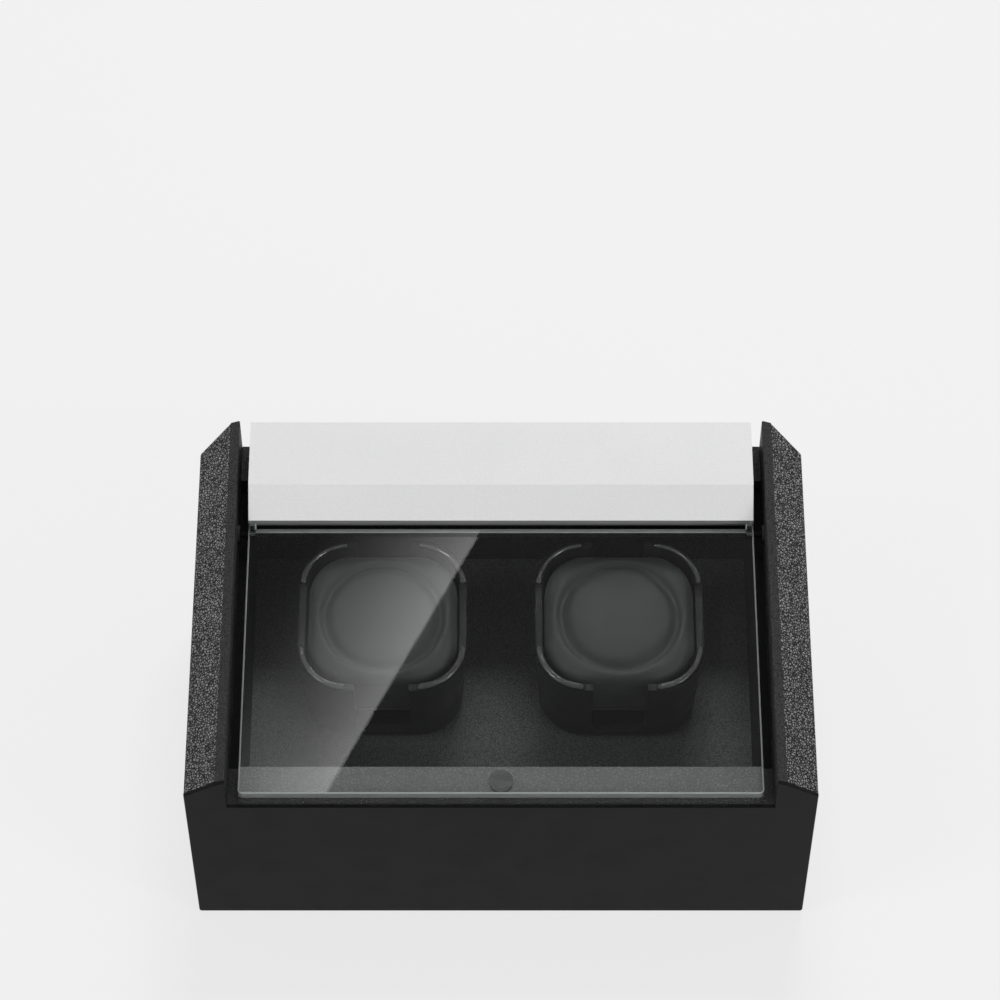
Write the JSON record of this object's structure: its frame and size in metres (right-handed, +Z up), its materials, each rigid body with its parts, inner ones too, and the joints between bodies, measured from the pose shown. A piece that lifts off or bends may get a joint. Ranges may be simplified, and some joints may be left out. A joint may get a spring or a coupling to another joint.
{
  "type": "watch winder",
  "caption": "Leather-covered watch winder with a sloped glass lid, an aluminium bar over the hinge and motor-driven cups that hold watch cushions.",
  "frame": {"origin": "middle of the footprint, on the surface the feet stand on", "axes": "+Z up, -Y out of the front face, +X to the right as seen from the front"},
  "size_m": [0.27, 0.179, 0.1285],
  "materials": {
    "bar_filler": "dull black",
    "black_steel": "blackened",
    "board_laminate": "green laminate",
    "bush_brass": "turned",
    "case_board": "fibreboard wrapped in dark lining",
    "control_plastic": "moulded black",
    "cover_aluminium": "fine blasted, satin",
    "cup_plastic": "satin black",
    "cushion_leather": "soft, fine grain",
    "deck_lining": "fine grain, satin",
    "fascia": "satin black, smooth",
    "gear_acetal": "natural acetal",
    "glass": "clear, polished edges, faint green",
    "knob_plastic": "moulded dark grey",
    "lining": "fine grain, dull",
    "magnet_nickel": "dark nickel",
    "motor_can": "drawn can",
    "pebbled_leather": "pebbled grain, satin",
    "ridge_gloss": "glossy black",
    "rubber": "dull black",
    "smooth_leather": "smooth, satin",
    "steel": "turned, bright",
    "zinc_steel": "zinc plated"
  },
  "bodies": {
    "case": {"back_wall": "pebbled_leather", "bar_core": "bar_filler", "bar_cover": "cover_aluminium", "bottom_board": "case_board", "catch_magnet": "magnet_nickel", "control_board": "board_laminate", "deck": "deck_lining", "deck_bush_left": "bush_brass", "deck_bush_right": "bush_brass", "front_fascia": "fascia", "front_wall": "case_board", "motor_bracket_left": "zinc_steel", "motor_bracket_right": "zinc_steel", "motor_left": "motor_can", "motor_right": "motor_can", "pivot_bush_left": "control_plastic", "pivot_bush_right": "control_plastic", "power_jack": "control_plastic", "rubber_feet": "rubber", "selector_bodies": "control_plastic", "side_board_left": "smooth_leather", "side_board_right": "smooth_leather", "side_liner_left": "lining", "side_liner_right": "lining", "side_pad_left": "pebbled_leather", "side_pad_right": "pebbled_leather", "switch_frame": "control_plastic"},
    "lid": {"glass_lid": "glass", "lid_pins": "black_steel", "strike_disc": "magnet_nickel"},
    "cup_left": {"cup_left": "cup_plastic", "cup_ridges_left": "ridge_gloss", "cup_shaft_left": "steel", "drive_gear_left": "gear_acetal", "shaft_clip_left": "zinc_steel"},
    "cushion_left": {"cushion_left": "cushion_leather"},
    "pinion_left": {"motor_pinion_left": "bush_brass", "motor_shaft_left": "steel"},
    "knob_left": {"selector_knob_left": "knob_plastic"},
    "cup_right": {"cup_right": "cup_plastic", "cup_ridges_right": "ridge_gloss", "cup_shaft_right": "steel", "drive_gear_right": "gear_acetal", "shaft_clip_right": "zinc_steel"},
    "cushion_right": {"cushion_right": "cushion_leather"},
    "pinion_right": {"motor_pinion_right": "bush_brass", "motor_shaft_right": "steel"},
    "knob_right": {"selector_knob_right": "knob_plastic"},
    "rocker": {"switch_rocker": "knob_plastic"}
  },
  "joints": [
    {"name": "lid_hinge", "type": "hinge", "parent": "case", "child": "lid", "pos_m": [0, 0.04069, 0.10887], "axis": [-1, 0, 0], "range_deg": [0, 75]},
    {"name": "cup_turn_left", "type": "hinge", "parent": "case", "child": "cup_left", "pos_m": [-0.0525, 0.01386, 0.04036], "axis": [0, -0.0993, 0.9951], "continuous": true},
    {"name": "cushion_lift_left", "type": "slide", "parent": "cup_left", "child": "cushion_left", "axis": [0, -0.0993, 0.9951], "range_m": [0, 0.0105]},
    {"name": "pinion_turn_left", "type": "hinge", "parent": "case", "child": "pinion_left", "pos_m": [-0.0525, 0.03873, 0.03279], "axis": [0, -0.0993, 0.9951], "continuous": true},
    {"name": "cup_turn_right", "type": "hinge", "parent": "case", "child": "cup_right", "pos_m": [0.0525, 0.01386, 0.04036], "axis": [0, -0.0993, 0.9951], "continuous": true},
    {"name": "cushion_lift_right", "type": "slide", "parent": "cup_right", "child": "cushion_right", "axis": [0, -0.0993, 0.9951], "range_m": [0, 0.0105]},
    {"name": "pinion_turn_right", "type": "hinge", "parent": "case", "child": "pinion_right", "pos_m": [0.0525, 0.03873, 0.03279], "axis": [0, -0.0993, 0.9951], "continuous": true},
    {"name": "selector_turn_left", "type": "hinge", "parent": "case", "child": "knob_left", "pos_m": [0.016, 0.0815, 0.022], "axis": [0, 1, 0], "range_deg": [0, 150]},
    {"name": "selector_turn_right", "type": "hinge", "parent": "case", "child": "knob_right", "pos_m": [0.038, 0.0815, 0.022], "axis": [0, 1, 0], "range_deg": [0, 150]},
    {"name": "rocker_tilt", "type": "hinge", "parent": "case", "child": "rocker", "pos_m": [-0.01, 0.0805, 0.022], "axis": [0, 0, 1], "range_deg": [0, 16]}
  ],
  "couplings": [
    {"joint": "pinion_turn_left", "follows": "cup_turn_left", "ratio": -3},
    {"joint": "pinion_turn_right", "follows": "cup_turn_right", "ratio": -3}
  ]
}
